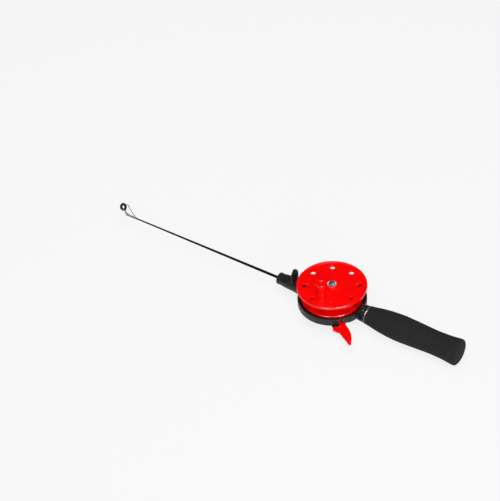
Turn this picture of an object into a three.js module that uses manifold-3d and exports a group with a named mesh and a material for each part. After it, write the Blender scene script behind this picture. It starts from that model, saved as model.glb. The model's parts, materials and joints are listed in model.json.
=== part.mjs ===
// Short ice-fishing rod with a built-in reel.
// Millimetres, +Z up. The spool turns about the Z axis, the rod runs along X with its tip at -X and
// the grip at +X, the trigger is on the -Y side, and Z = 0 is the plane that the rod lies on.
import * as THREE from 'three';
import { mergeVertices } from 'three/addons/utils/BufferGeometryUtils.js';
import Module from 'manifold-3d';

const wasm = await Module();
wasm.setup();

// ---- driving dimensions ----
const ROD_Z = 13.75; // height of the centreline of blank, nose, stem and grip
const GAP = 0.3; // clearance between pieces that meet
const FACETS = 48; // sides of the large turned pieces
const SMALL_FACETS = 20; // sides of pins, screws and other small turned pieces

// cup of the frame
const CUP_R = 35;
const CUP_WALL = 2;
const CUP_BOTTOM = 10.55;
const CUP_TOP = 18.85;
const FLOOR_BOTTOM = 12.75;
const FLOOR_TOP = 14.75;
const HUB_R = 5;
const HUB_TOP = 15.8;
const HUB_BORE_R = 2.2;

// nose, stem and tang of the frame
const NOSE_END_X = -64.6;
const SOCKET_R = 1.87;
const SOCKET_END_X = -37;
const STEM_R = 9;
const STEM_END_X = 42;
const TANG_R = 5.5;
const TANG_END_X = 132;
const GRIP_END_X = 147.6;

// line-guide plate, with its foot in a slot across the nose
const GUIDE_X = -46;
const GUIDE_THICK = 2;
const GUIDE_FOOT_Z = ROD_Z + 2.5;
const GUIDE_HALF_WIDTH = 5.8;
const GUIDE_SHOULDER_Z = 26.8;
const GUIDE_TOP_Z = 34;
const EYE_Z = 27.4;
const EYE_R = 4;
const EYE_RING_BORE_R = 3;
const EYE_RING_REACH = 0.75; // how far the ring stands out of the plate on each side

// back cover
const COVER_R = 32;
const COVER_BOTTOM = 8.55;
const COVER_TOP = 10.25;
const TONGUE_BOTTOM = 9.3;
const TONGUE_END_R = 2;
const TONGUE_ROOT_HALF = 5;
const BOSS_FOOT_R = 15;
const BOSS_TOP_R = 18.6;
const COVER_SCREW_CIRCLE_R = 26.5;
const COVER_SCREW_ANGLES = [20, 140, 260];

// axle and the pieces on it
const AXLE_BOTTOM = 4.4;
const AXLE_TOP = 35;
const AXLE_SHANK_R = 1.9;
const AXLE_JOURNAL_R = 2.5;
const AXLE_SHOULDER_R = 3.9;
const AXLE_SHOULDER_TOP = 17;
const WASHER_BOTTOM = 35.3;
const WASHER_TOP = 36;
const WASHER_R = 4.8;
const SCREW_HEAD_R = 3.3;
const SCREW_HEAD_TOP = 38.1;

// spool
const FLANGE_R = 35.5;
const LIP_TOP = 34.55;
const WEB_TOP = 33.35;
const WEB_BOTTOM = 31.2;
const SPOOL_HUB_R = 6.7;
const SPOOL_HUB_RISE = 1.6; // above the web
const SPOOL_BORE_R = 3.7;
const BUSHING_R = 3.4;
const BUSHING_BORE_R = 2.7;
const BUSHING_BOTTOM = 18;
const HUB_TUBE_R = 5.6;
const HOLE_COUNT = 8;
const HOLE_R = 2.6;
const HOLE_CIRCLE_R = 27.2;
const FIRST_HOLE_DEG = -13.9;
const ARBOR_R = 18;
const ARBOR_WALL = 2;
const LOWER_FLANGE_R = 31.5;
const LOWER_FLANGE_BOTTOM = 17.55;
const LOWER_FLANGE_TOP = 19.15;
const BRAKE_RING_R = 23.9;
const BRAKE_RING_BOTTOM = 15.3;
const RIB_COUNT = 6;

// crank knob, between two of the holes
const KNOB_CIRCLE_R = 22.2;
const KNOB_DEG = -84.5;
const KNOB_BORE_R = 1.8;
const KNOB_PIN_R = 1.5;
const KNOB_TOP = 54.5;

// trigger
const PIVOT = new THREE.Vector2(24.8, -32.3);
const LOBE_R = 3.25;
const LEVER_BOTTOM = 10.6;
const LEVER_TOP = 12.4;
const PIVOT_PIN_R = 1.1;
const ARM_DEG = -38.9; // direction of the inner arm, seen from the spool axis
const PAD_FACE_R = 25.8; // nearest the brake pad comes to the spool axis at rest
const PAD_THICK = 1.3;
const PAD_WIDTH = 5;
const PAD_TOP = 17.2;
const POST_THICK = 2;
const SPRING_POST = [9.6, -20.4];
const SPRING_POST_R = 1.6;
const SPRING_THICK = 0.4;

// tip-top
const RING_CENTRE = new THREE.Vector3(-263.8, 0, ROD_Z + 9);
const RING_R = 3;
const RING_WIRE_R = 1.4;
const RING_LEAN_DEG = 29;
const TIP_TUBE_START_X = -260.8;
const TIP_TUBE_END_X = -246.2;
const TIP_TUBE_R = 1.18;
const TIP_TUBE_BORE_R = 0.93;
const FOOT_R = 0.45;
const FOOT_SPREAD = 2.4; // how much wider than thick the ring's foot is
const BLANK_START_X = -257;
const BLANK_END_X = -37.5;
const BLANK_TIP_R = 0.7;
const BLANK_NOSE_R = 1.52; // where it enters the nose
const BLANK_BUTT_R = 1.57;

// ---- materials ----
const plastic = (color, roughness) => new THREE.MeshStandardMaterial({ color, roughness, metalness: 0 });
const metal = (color, roughness) => new THREE.MeshStandardMaterial({ color, roughness, metalness: 1 });
const BLACK = plastic(0x2a2b2a, 0.45);
const FOAM = plastic(0x232323, 0.95);
const CARBON = plastic(0x0d0d0f, 0.3);
const RED = plastic(0xee0a08, 0.2);
const FELT = plastic(0x8a8278, 1);
const STEEL = metal(0xb9bcc0, 0.3);
const GREY_METAL = metal(0x8b8c8e, 0.4);
const BRASS = metal(0xc4a35a, 0.35);

// ---- solids: joining and cutting ----
function solidOf(geometry) {
  const bare = geometry.clone();
  bare.deleteAttribute('normal');
  bare.deleteAttribute('uv');
  const merged = mergeVertices(bare, 1e-4);
  const triVerts = [];
  for (let i = 0; i < merged.index.count; i += 3) {
    const [a, b, c] = [0, 1, 2].map((k) => merged.index.getX(i + k));
    if (a !== b && b !== c && c !== a) triVerts.push(a, b, c);
  }
  const vertProperties = new Float32Array(merged.attributes.position.array);
  return new wasm.Manifold(
    new wasm.Mesh({ numProp: 3, vertProperties, triVerts: new Uint32Array(triVerts) }),
  );
}

function geometryOf(body) {
  const mesh = body.getMesh();
  const geometry = new THREE.BufferGeometry();
  geometry.setAttribute('position', new THREE.BufferAttribute(mesh.vertProperties, 3));
  geometry.setIndex(new THREE.BufferAttribute(mesh.triVerts, 1));
  geometry.computeVertexNormals();
  return geometry;
}

const join = (...shapes) => geometryOf(shapes.map(solidOf).reduce((a, b) => a.add(b)));
const cut = (shape, ...tools) =>
  geometryOf(tools.map(solidOf).reduce((a, b) => a.subtract(b), solidOf(shape)));

// ---- shapes ----
const radians = THREE.MathUtils.degToRad;
const polar = (r, deg) => [r * Math.cos(radians(deg)), r * Math.sin(radians(deg))];

// Turns a profile of [radius, height] points about Z. It runs from the bottom of the axis outward and
// up to its top, or closes on itself in the same sense.
function turned(profile, facets = FACETS) {
  const points = profile.map(([r, z]) => new THREE.Vector2(r, z));
  if (points[0].x > 0) points.push(points[0].clone());
  return new THREE.LatheGeometry(points, facets).rotateX(Math.PI / 2);
}

// The same about the centreline of the rod, with [radius, x] points.
const turnedX = (profile, facets = FACETS) =>
  turned(profile, facets).rotateY(Math.PI / 2).translate(0, 0, ROD_Z);

const cylinder = (r, low, high, facets = SMALL_FACETS) =>
  turned([[0, low], [r, low], [r, high], [0, high]], facets);

const box = (width, depth, height) => new THREE.BoxGeometry(width, depth, height);

// An outline in the XY plane between two heights.
const plate = (shape, low, high, curveSegments = 12) =>
  new THREE.ExtrudeGeometry(shape, { depth: high - low, bevelEnabled: false, curveSegments })
    .translate(0, 0, low);

// An outline in the YZ plane between two values of x.
const plateX = (shape, low, high, curveSegments = 12) =>
  plate(shape, low, high, curveSegments).rotateY(Math.PI / 2).rotateX(Math.PI / 2);

// A round wire along a curve. An arc is drawn with two sides for each curve segment.
function wire(curve, radius, steps, sides = 8) {
  const section = new THREE.Shape().absarc(0, 0, radius, 0, 2 * Math.PI);
  return new THREE.ExtrudeGeometry(section, { extrudePath: curve, steps, curveSegments: sides / 2 });
}

const shapeOf = (points) => new THREE.Shape(points.map(([x, y]) => new THREE.Vector2(x, y)));

// ---- frame ----
function reelFrame() {
  const inside = CUP_R - CUP_WALL;
  const cup = turned([
    [0, FLOOR_BOTTOM], [inside, FLOOR_BOTTOM], [inside, CUP_BOTTOM], [CUP_R - 0.6, CUP_BOTTOM],
    [CUP_R, CUP_BOTTOM + 0.6], [CUP_R, CUP_TOP - 0.5], [CUP_R - 0.5, CUP_TOP], [inside, CUP_TOP],
    [inside, FLOOR_TOP], [HUB_R, FLOOR_TOP], [HUB_R, HUB_TOP], [0, HUB_TOP],
  ]);
  const nose = turnedX([
    [0, NOSE_END_X], [5.6, NOSE_END_X], [6.25, NOSE_END_X + 0.7], [6.35, NOSE_END_X + 2],
    [6.05, NOSE_END_X + 2.9], [6.9, -54], [7.3, -45], [8.6, -inside], [0, -inside],
  ], 40);
  const stem = turnedX([
    [0, inside], [STEM_R - 0.5, inside], [STEM_R, STEM_END_X - 4], [STEM_R, STEM_END_X - 0.6],
    [STEM_R - 0.6, STEM_END_X], [TANG_R, STEM_END_X], [TANG_R, TANG_END_X - 1],
    [TANG_R - 1, TANG_END_X], [0, TANG_END_X],
  ], 40);
  const aboveFloor = cylinder(inside, FLOOR_TOP, 2 * CUP_R, FACETS);
  const belowFloor = cylinder(inside, -1, FLOOR_BOTTOM, FACETS);
  const arms = cut(join(nose, stem), aboveFloor, belowFloor);
  const bosses = COVER_SCREW_ANGLES.map((deg) =>
    cylinder(3, CUP_BOTTOM, FLOOR_BOTTOM + 0.5).translate(...polar(COVER_SCREW_CIRCLE_R, deg), 0));
  const springPost =
    cylinder(SPRING_POST_R, CUP_BOTTOM, FLOOR_BOTTOM + 0.5).translate(...SPRING_POST, 0);
  const pilots = COVER_SCREW_ANGLES.map((deg) =>
    cylinder(1.2, CUP_BOTTOM - 1, FLOOR_TOP - 0.7).translate(...polar(COVER_SCREW_CIRCLE_R, deg), 0));
  return cut(
    join(cup, arms, ...bosses, springPost),
    cylinder(HUB_BORE_R, 0, 2 * HUB_TOP),
    turnedX([[0, NOSE_END_X - 1], [SOCKET_R, NOSE_END_X - 1], [SOCKET_R, SOCKET_END_X], [0, SOCKET_END_X]],
      SMALL_FACETS),
    ...pilots,
    leverSlot(),
    sightNotch(),
    padWindow(),
    hookKeeper(),
    guideSlot(),
  );
}

// The slot across the nose that holds the foot of the line guide.
const guideSlot = () =>
  box(GUIDE_THICK + 2 * GAP, 2 * (GUIDE_HALF_WIDTH + GAP), 2 * STEM_R)
    .translate(GUIDE_X + GUIDE_THICK / 2, 0, GUIDE_FOOT_Z - GAP + STEM_R);

// Upright plate with a pointed arch on top, on the nose in front of the spool.
function lineGuide() {
  const [w, shoulder, top] = [GUIDE_HALF_WIDTH, GUIDE_SHOULDER_Z, GUIDE_TOP_Z];
  const outline = new THREE.Shape();
  outline.moveTo(-w, GUIDE_FOOT_Z);
  outline.lineTo(w, GUIDE_FOOT_Z);
  outline.lineTo(w, shoulder);
  outline.quadraticCurveTo(w - 0.2, shoulder + 3.2, w - 2.4, top - 2.4);
  outline.quadraticCurveTo(0, top + 2.4, -w + 2.4, top - 2.4);
  outline.quadraticCurveTo(-w + 0.2, shoulder + 3.2, -w, shoulder);
  const eye = new THREE.Path();
  eye.absarc(0, EYE_Z, EYE_R, 0, 2 * Math.PI, true);
  outline.holes.push(eye);
  return plateX(outline, GUIDE_X, GUIDE_X + GUIDE_THICK, 8);
}

// The slot in the cup's wall under the floor, wide enough for the lever's swing.
function leverSlot() {
  const outline = shapeOf([
    polar(CUP_R - CUP_WALL - 2, -51.5), polar(CUP_R + 2, -51.5),
    polar(CUP_R + 2, -29.5), polar(CUP_R - CUP_WALL - 2, -29.5),
  ]);
  return plate(outline, CUP_BOTTOM - 1, FLOOR_BOTTOM);
}

// The narrow notch through the wall's whole height above the lever.
function sightNotch() {
  const outline = shapeOf([
    polar(CUP_R - CUP_WALL - 1, -47), polar(CUP_R + 2, -47),
    polar(CUP_R + 2, -40), polar(CUP_R - CUP_WALL - 1, -40),
  ]);
  return plate(outline, FLOOR_BOTTOM - 1, CUP_TOP + 1);
}

// The window in the floor that the post of the brake pad comes up through.
function padWindow() {
  const [low, high] = [PAD_FACE_R - 2.2, PAD_FACE_R + PAD_THICK + POST_THICK + 0.8];
  const half = PAD_WIDTH / 2;
  const outline = shapeOf([[low, -half - 3.2], [high, -half - 3.2], [high, half + 0.8], [low, half + 0.8]]);
  return plate(outline, FLOOR_BOTTOM - 1, FLOOR_TOP + 1).rotateZ(radians(ARM_DEG));
}

// A pocket in the side of the stem where a hook is kept.
const hookKeeper = () => box(3.6, 6, 6.5).translate(38.2, -STEM_R, ROD_Z + 1.6);

function guideRing() {
  const [low, high] = [GUIDE_X - EYE_RING_REACH, GUIDE_X + GUIDE_THICK + EYE_RING_REACH];
  return turnedX([
    [EYE_RING_BORE_R, low + 0.5], [EYE_RING_BORE_R + 0.3, low],
    [EYE_R - GAP, low], [EYE_R - GAP, high],
    [EYE_RING_BORE_R + 0.3, high], [EYE_RING_BORE_R, high - 0.5],
  ], SMALL_FACETS).translate(0, 0, EYE_Z - ROD_Z);
}

// ---- back cover ----
// Round cover with a hollow boss to rest on, and a tongue that carries the trigger's pin.
function backCover() {
  const disc = turned([
    [0, 0], [BOSS_FOOT_R, 0], [BOSS_FOOT_R + 0.7, 0.7], [BOSS_TOP_R, COVER_BOTTOM],
    [COVER_R - 0.6, COVER_BOTTOM], [COVER_R, COVER_BOTTOM + 0.6], [COVER_R, COVER_TOP],
    [12, COVER_TOP], [12, 3], [0, 3],
  ]);
  const [x, y] = [PIVOT.x, PIVOT.y];
  const reach = PIVOT.length();
  const tongue = plate(shapeOf([
    [COVER_R - 4, -TONGUE_ROOT_HALF], [reach, -TONGUE_END_R],
    [reach, TONGUE_END_R], [COVER_R - 4, TONGUE_ROOT_HALF],
  ]), TONGUE_BOTTOM, COVER_TOP).rotateZ(PIVOT.angle());
  const tongueEnd = cylinder(TONGUE_END_R, TONGUE_BOTTOM, COVER_TOP).translate(x, y, 0);
  const screwHoles = COVER_SCREW_ANGLES.flatMap((deg) => {
    const [sx, sy] = polar(COVER_SCREW_CIRCLE_R, deg);
    const countersink = turned([[0, 0], [2.9, 0], [2.9, COVER_BOTTOM + 0.4], [1.5, COVER_BOTTOM + 1.5],
      [1.5, 2 * COVER_TOP], [0, 2 * COVER_TOP]], SMALL_FACETS);
    return countersink.translate(sx, sy, 0);
  });
  return cut(
    join(disc, tongue, tongueEnd),
    ...screwHoles,
    cylinder(PIVOT_PIN_R + 0.2, 0, 2 * COVER_TOP).translate(x, y, 0),
  );
}

// Countersunk screw with a cross recess, head down.
function coverScrew(deg) {
  const head = turned([
    [0, COVER_BOTTOM + 0.05], [2.55, COVER_BOTTOM + 0.05], [2.55, COVER_BOTTOM + 0.25],
    [1, COVER_BOTTOM + 1.4], [1, FLOOR_TOP - 1.2], [0, FLOOR_TOP - 0.9],
  ], SMALL_FACETS);
  const slot = box(2.8, 0.6, 1.2).translate(0, 0, COVER_BOTTOM);
  return cut(head, slot, slot.clone().rotateZ(Math.PI / 2))
    .translate(...polar(COVER_SCREW_CIRCLE_R, deg), 0);
}

// ---- axle and the pieces on it ----
const axle = () => cut(
  turned([
    [0, AXLE_BOTTOM], [AXLE_SHANK_R - 0.3, AXLE_BOTTOM], [AXLE_SHANK_R, AXLE_BOTTOM + 0.3],
    [AXLE_SHANK_R, HUB_TOP + 0.2], [AXLE_SHOULDER_R, HUB_TOP + 0.2],
    [AXLE_SHOULDER_R, AXLE_SHOULDER_TOP], [AXLE_JOURNAL_R, AXLE_SHOULDER_TOP],
    [AXLE_JOURNAL_R, AXLE_TOP], [0, AXLE_TOP],
  ], SMALL_FACETS),
  cylinder(1.3, AXLE_TOP - 8.5, AXLE_TOP + 1),
);

// Hexagon nut under the floor, inside the boss of the cover.
const axleNut = () => cut(
  turned([[0, 9.4], [3.7, 9.4], [4.04, 9.75], [4.04, FLOOR_BOTTOM - 0.25], [0, FLOOR_BOTTOM - 0.25]], 6),
  cylinder(AXLE_SHANK_R + 0.2, 0, FLOOR_TOP),
);

const washer = (bore, r, low, high) =>
  turned([[bore, low], [r, low], [r, high - 0.15], [r - 0.15, high], [bore, high]], 32);

// Pan-head screw with a cross recess.
function centreScrew() {
  const low = WASHER_TOP + 0.15;
  const body = turned([
    [0, AXLE_TOP - 7.5], [1, AXLE_TOP - 7.5], [1, low], [SCREW_HEAD_R, low], [SCREW_HEAD_R, low + 0.8],
    [SCREW_HEAD_R - 0.4, low + 1.35], [SCREW_HEAD_R - 1.3, SCREW_HEAD_TOP - 0.15], [0, SCREW_HEAD_TOP],
  ], 32);
  const slot = box(4, 0.8, 1.8).translate(0, 0, SCREW_HEAD_TOP);
  return cut(body, slot, slot.clone().rotateZ(Math.PI / 2)).rotateZ(radians(20));
}

// ---- spool ----
const flangeHoles = () => Array.from({ length: HOLE_COUNT }, (_, i) =>
  cylinder(HOLE_R, WEB_BOTTOM - 1, WEB_TOP + 1, 16)
    .translate(...polar(HOLE_CIRCLE_R, FIRST_HOLE_DEG + (i * 360) / HOLE_COUNT), 0));

// Upper flange: recessed web with a raised lip, a low hub and a ring below that centres the arbor.
function spoolFlange() {
  const inside = ARBOR_R - ARBOR_WALL - GAP;
  const disc = turned([
    [SPOOL_BORE_R, WEB_BOTTOM], [inside - 1.3, WEB_BOTTOM], [inside - 1.3, WEB_BOTTOM - 1.3],
    [inside, WEB_BOTTOM - 1.3], [inside, WEB_BOTTOM], [FLANGE_R - 0.8, WEB_BOTTOM],
    [FLANGE_R, WEB_BOTTOM + 0.6], [FLANGE_R, LIP_TOP - 0.45], [FLANGE_R - 0.45, LIP_TOP],
    [FLANGE_R - 1.3, LIP_TOP], [FLANGE_R - 2, LIP_TOP - 0.5], [FLANGE_R - 3, WEB_TOP],
    [SPOOL_HUB_R + 1.2, WEB_TOP], [SPOOL_HUB_R, WEB_TOP + SPOOL_HUB_RISE],
    [SPOOL_BORE_R, WEB_TOP + SPOOL_HUB_RISE],
  ]);
  const pinHole = cylinder(KNOB_PIN_R + GAP, WEB_BOTTOM - 1, WEB_TOP + 1)
    .translate(...polar(KNOB_CIRCLE_R, KNOB_DEG), 0);
  return cut(disc, ...flangeHoles(), pinHole);
}

// Arbor with the lower flange, the bearing tube inside, ribs between them and the brake ring below.
function spoolDrum() {
  const inside = ARBOR_R - ARBOR_WALL;
  const top = WEB_BOTTOM - 0.25;
  const [low, high] = [LOWER_FLANGE_BOTTOM, LOWER_FLANGE_TOP];
  const body = turned([
    [SPOOL_BORE_R, low + 0.45], [HUB_TUBE_R - 0.3, low + 0.45], [HUB_TUBE_R, low], [BRAKE_RING_R - 2, low],
    [BRAKE_RING_R - 2, BRAKE_RING_BOTTOM], [BRAKE_RING_R, BRAKE_RING_BOTTOM], [BRAKE_RING_R, low],
    [LOWER_FLANGE_R - 0.6, low], [LOWER_FLANGE_R, low + 0.6], [LOWER_FLANGE_R, high + 0.45],
    [LOWER_FLANGE_R - 0.4, high + 0.85], [LOWER_FLANGE_R - 1.2, high + 0.85],
    [LOWER_FLANGE_R - 1.9, high], [ARBOR_R + 0.6, high], [ARBOR_R, high + 0.6], [ARBOR_R, top],
    [inside, top], [inside, high], [HUB_TUBE_R, high], [HUB_TUBE_R, top], [SPOOL_BORE_R, top],
  ]);
  const ribLength = inside - HUB_TUBE_R + 1;
  const ribs = Array.from({ length: RIB_COUNT }, (_, i) =>
    box(ribLength, 1.4, 9).translate(HUB_TUBE_R + (ribLength - 1) / 2, 0, high + 4)
      .rotateZ((i * 2 * Math.PI) / RIB_COUNT));
  const lineHole = cylinder(0.9, 0, ARBOR_R + 2, 12).rotateY(Math.PI / 2).translate(0, 0, 22)
    .rotateZ(radians(100));
  const keepHub = cylinder(HUB_TUBE_R - 1, high + 0.2, top - 0.5);
  return cut(join(body, ...ribs), cut(lineHole, keepHub));
}

const spoolBushing = () => turned([
  [BUSHING_BORE_R, BUSHING_BOTTOM], [BUSHING_R, BUSHING_BOTTOM],
  [BUSHING_R, WEB_TOP + SPOOL_HUB_RISE - 0.1],
  [BUSHING_BORE_R, WEB_TOP + SPOOL_HUB_RISE - 0.1],
], 32);

// ---- crank knob ----
const atKnob = (geometry) => geometry.translate(...polar(KNOB_CIRCLE_R, KNOB_DEG), 0);

const knobPin = () => atKnob(turned([
  [0, WEB_BOTTOM - 1], [2.3, WEB_BOTTOM - 1], [2.6, WEB_BOTTOM - 0.7], [2.6, WEB_BOTTOM - 0.25],
  [KNOB_PIN_R, WEB_BOTTOM - 0.25], [KNOB_PIN_R, KNOB_TOP - 4.2], [0, KNOB_TOP - 3.8],
], SMALL_FACETS));

const crankKnob = () => atKnob(turned([
  [0, KNOB_TOP - 3.2], [KNOB_BORE_R, KNOB_TOP - 3.2], [KNOB_BORE_R, WEB_TOP + GAP],
  [4.3, WEB_TOP + GAP], [4.6, WEB_TOP + 0.9], [4.3, WEB_TOP + 2], [3.5, WEB_TOP + 5],
  [3.3, WEB_TOP + 8.5], [3.7, WEB_TOP + 13], [4.7, WEB_TOP + 16.2], [5.3, WEB_TOP + 18],
  [5.35, KNOB_TOP - 1.5], [4.8, KNOB_TOP - 0.6], [3.6, KNOB_TOP - 0.1], [0, KNOB_TOP],
], 28));

// ---- trigger ----
// Flat lever: inner arm, broad blade that tapers to a round tip, and a lobe about the pivot beside it.
function triggerLever() {
  const half = PAD_WIDTH / 2;
  const [innerR, outerR] = [PAD_FACE_R + PAD_THICK + GAP, PAD_FACE_R + PAD_THICK + POST_THICK];
  const along = new THREE.Vector2(...polar(1, ARM_DEG));
  const across = new THREE.Vector2(-along.y, along.x);
  const armPoint = (r, s) => [along.x * r + across.x * s, along.y * r + across.y * s];
  const blade = new THREE.Shape();
  blade.moveTo(...armPoint(innerR, -half));
  blade.lineTo(...armPoint(outerR, -half));
  blade.lineTo(23.1, -23.9);
  blade.lineTo(29, -34.4);
  blade.quadraticCurveTo(31.6, -35.8, 34.9, -37.4);
  blade.quadraticCurveTo(39.4, -40, 43.4, -41.9);
  blade.quadraticCurveTo(49.2, -46.2, 49.3, -43.2);
  blade.quadraticCurveTo(49, -41.4, 47.5, -39.9);
  blade.quadraticCurveTo(45.2, -34.6, 40.7, -29.8);
  blade.quadraticCurveTo(36, -25.4, 30.2, -22.3);
  blade.lineTo(...armPoint(outerR + 2, half + 0.6));
  blade.lineTo(...armPoint(outerR, half));
  blade.lineTo(...armPoint(innerR, half));
  const neck = shapeOf([
    [PIVOT.x, PIVOT.y + 0.4], [28.6, -31.6], [30, -35], [28.6, -35.4], [PIVOT.x + 0.6, PIVOT.y - 3],
  ]);
  const lobe = cylinder(LOBE_R, LEVER_BOTTOM, LEVER_TOP, 32).translate(PIVOT.x, PIVOT.y, 0);
  const post = plate(shapeOf([
    [innerR, -half], [outerR, -half], [outerR, half], [innerR, half],
  ]), LEVER_BOTTOM, PAD_TOP).rotateZ(radians(ARM_DEG));
  const ridge = plate(shapeOf([
    [26, -28.6], [27.3, -28], [30.6, -33.8], [36, -36.6], [35.3, -37.6], [29.3, -34.5],
  ]), LEVER_TOP - 0.5, LEVER_TOP + 0.9);
  const pinHole = cylinder(PIVOT_PIN_R + 0.3, 0, 2 * LEVER_TOP).translate(PIVOT.x, PIVOT.y, 0);
  return cut(
    join(plate(blade, LEVER_BOTTOM, LEVER_TOP, 6), lobe, plate(neck, LEVER_BOTTOM, LEVER_TOP), post, ridge),
    pinHole,
  );
}

const brakePad = () => {
  const half = PAD_WIDTH / 2;
  const outline = new THREE.Shape();
  outline.moveTo(PAD_FACE_R + PAD_THICK, -half);
  outline.lineTo(PAD_FACE_R + PAD_THICK, half);
  outline.lineTo(PAD_FACE_R + 0.25, half);
  outline.quadraticCurveTo(PAD_FACE_R - 0.15, 0, PAD_FACE_R + 0.25, -half);
  return plate(outline, BRAKE_RING_BOTTOM, PAD_TOP, 6).rotateZ(radians(ARM_DEG));
};

// Pin with a low head above the lobe.
const triggerPin = () => turned([
  [0, TONGUE_BOTTOM + 0.1], [PIVOT_PIN_R, TONGUE_BOTTOM + 0.1], [PIVOT_PIN_R, LEVER_TOP + 0.2],
  [1.7, LEVER_TOP + 0.2], [1.7, LEVER_TOP + 0.55], [1.2, LEVER_TOP + 0.85], [0, LEVER_TOP + 0.95],
], SMALL_FACETS).translate(PIVOT.x, PIVOT.y, 0);

// Leaf spring in the space under the floor: one leg against the lever's arm, a turn about its post,
// and one leg against the cup's wall.
function returnSpring() {
  const middle = new THREE.CatmullRomCurve3([
    [21.9, -22.8], [19.8, -20.9], [16, -19], [12.4, -18], [9.6, -17.9], [7.6, -19], [7.1, -20.9],
    [8.3, -22.6], [11, -24.2], [13.4, -26.2], [15.4, -28.7],
  ].map(([x, y]) => new THREE.Vector3(x, y, 0)));
  const steps = 28;
  const edge = (side) => Array.from({ length: steps + 1 }, (_, i) => {
    const point = middle.getPointAt(i / steps);
    const tangent = middle.getTangentAt(i / steps);
    return [point.x - side * tangent.y, point.y + side * tangent.x];
  });
  const outline = shapeOf([...edge(-SPRING_THICK / 2), ...edge(SPRING_THICK / 2).reverse()]);
  return plate(outline, LEVER_BOTTOM + 0.1, LEVER_TOP - 0.1);
}

// ---- grip ----
const gripCollar = () => turnedX([
  [TANG_R + GAP, STEM_END_X + 0.25], [9.3, STEM_END_X + 0.25], [9.6, STEM_END_X + 0.6],
  [9.6, STEM_END_X + 1.1], [9.3, STEM_END_X + 1.4], [TANG_R + GAP, STEM_END_X + 1.4],
], 40);

// Foam handle: front taper, swell, slight waist and a flared butt with rounded edges.
function foamGrip() {
  const front = STEM_END_X + 1.7;
  const surface = new THREE.SplineCurve([
    [9.7, front + 0.6], [10.3, 48.5], [11.7, 57], [12.85, 67], [13.5, 79.5], [13.35, 88], [12.9, 100],
    [12.35, 112], [12.2, 120.5], [12.55, 132], [13.3, 140], [13.6, 142.6],
  ].map(([r, x]) => new THREE.Vector2(r, x)));
  const butt = new THREE.QuadraticBezierCurve(
    new THREE.Vector2(13.68, 143.9), new THREE.Vector2(13.65, GRIP_END_X - 1),
    new THREE.Vector2(10.6, GRIP_END_X - 0.5));
  return turnedX([
    [0, TANG_END_X + GAP], [TANG_R + GAP, TANG_END_X + GAP], [TANG_R + GAP, front], [9.2, front],
    ...surface.getPoints(15).map((p) => [p.x, p.y]),
    ...butt.getPoints(4).map((p) => [p.x, p.y]),
    [0, GRIP_END_X],
  ], 40);
}

// ---- rod blank and tip-top ----
const rodBlank = () => turnedX([
  [0, BLANK_START_X], [BLANK_TIP_R, BLANK_START_X], [BLANK_NOSE_R, NOSE_END_X], [BLANK_BUTT_R, BLANK_END_X],
  [0, BLANK_END_X],
], 16);

// Metal tube over the end of the blank, with a foot in front that carries the ring.
function tipTube() {
  const tube = turnedX([
    [0, TIP_TUBE_START_X], [TIP_TUBE_R - 0.2, TIP_TUBE_START_X], [TIP_TUBE_R, TIP_TUBE_START_X + 0.5],
    [TIP_TUBE_R, TIP_TUBE_END_X - 0.3], [TIP_TUBE_R - 0.15, TIP_TUBE_END_X], [0, TIP_TUBE_END_X],
  ], SMALL_FACETS);
  const bore = turnedX([
    [0, TIP_TUBE_START_X + 2.7], [TIP_TUBE_BORE_R, TIP_TUBE_START_X + 2.7],
    [TIP_TUBE_BORE_R, TIP_TUBE_END_X + 1], [0, TIP_TUBE_END_X + 1],
  ], 16);
  const foot = wire(new THREE.CatmullRomCurve3([
    new THREE.Vector3(TIP_TUBE_START_X + 1.2, 0, ROD_Z),
    new THREE.Vector3(TIP_TUBE_START_X - 0.2, 0, ROD_Z + 0.7),
    new THREE.Vector3(TIP_TUBE_START_X - 0.7, 0, ROD_Z + 2.6),
    new THREE.Vector3(TIP_TUBE_START_X - 0.8, 0, ROD_Z + 4.6),
  ]), FOOT_R, 8).scale(1, FOOT_SPREAD, 1);
  return cut(join(tube, foot), bore);
}

const tipRing = () => {
  const lean = radians(RING_LEAN_DEG);
  return new THREE.TorusGeometry(RING_R, RING_WIRE_R, 10, 28).rotateY(Math.PI / 2 - lean)
    .translate(...RING_CENTRE);
};

// One brace wire: from one side of the ring back over the tube and forward to the other side.
function tipWire() {
  const { x, z } = RING_CENTRE;
  const side = RING_R + RING_WIRE_R + 0.75;
  const leg = (s) => [
    [x + 0.4, s * side, z + 0.2], [x + 2.9, s * (side - 0.5), z + 0.5],
    [x + 5, s * (side - 1.5), z - 1.2],
    [x + 10.6, s * 2.1, ROD_Z + 2.8], [x + 13.3, s * 1.4, ROD_Z + 1.5],
  ].map((p) => new THREE.Vector3(...p));
  const saddle = new THREE.Vector3(x + 14.4, 0, ROD_Z + 1.95);
  const path = new THREE.CatmullRomCurve3([...leg(1), saddle, ...leg(-1).reverse()], false, 'centripetal');
  return wire(path, 0.42, 36);
}

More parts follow.
